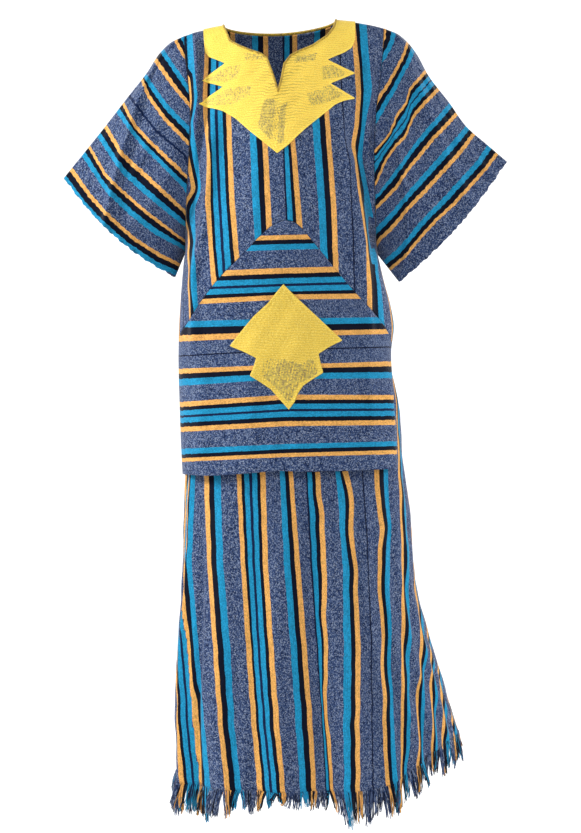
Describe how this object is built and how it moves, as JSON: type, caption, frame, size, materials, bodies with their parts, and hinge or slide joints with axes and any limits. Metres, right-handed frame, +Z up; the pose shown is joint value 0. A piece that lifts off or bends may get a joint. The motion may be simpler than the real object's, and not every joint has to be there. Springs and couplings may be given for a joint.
{
  "type": "fugu smock and skirt set",
  "caption": "Hollow two-piece fugu set in its worn form: loose smock with wide short sleeves and a spiked neck yoke, over an ankle-length skirt with a fringed hem.",
  "frame": {"origin": "middle of the neck at the height of the shoulder seams' inner ends, where the wearer's shoulders hold the smock", "axes": "+Z up the wearer, -Y the way the wearer faces, +X to the wearer's left"},
  "size_m": [0.7535, 0.3484, 1.3395],
  "materials": {
    "strip_cloth": "matt handwoven cotton strip cloth, speckled blue-grey with turquoise, navy and orange warp stripes",
    "stitching": "dense yellow machine stitching with a soft sheen",
    "fringe_yarn": "loose cotton yarn ends in the stripes' colours"
  },
  "bodies": {
    "root": {"smock_front_upper": "strip_cloth", "smock_front_lower": "strip_cloth", "smock_back": "strip_cloth", "sleeve_right": "strip_cloth", "sleeve_left": "strip_cloth", "skirt_front": "strip_cloth", "skirt_back": "strip_cloth", "skirt_waistband": "strip_cloth", "yoke_front": "stitching", "yoke_back": "stitching", "front_emblem": "stitching", "skirt_fringe_front": "fringe_yarn", "skirt_fringe_back": "fringe_yarn"}
  },
  "joints": []
}
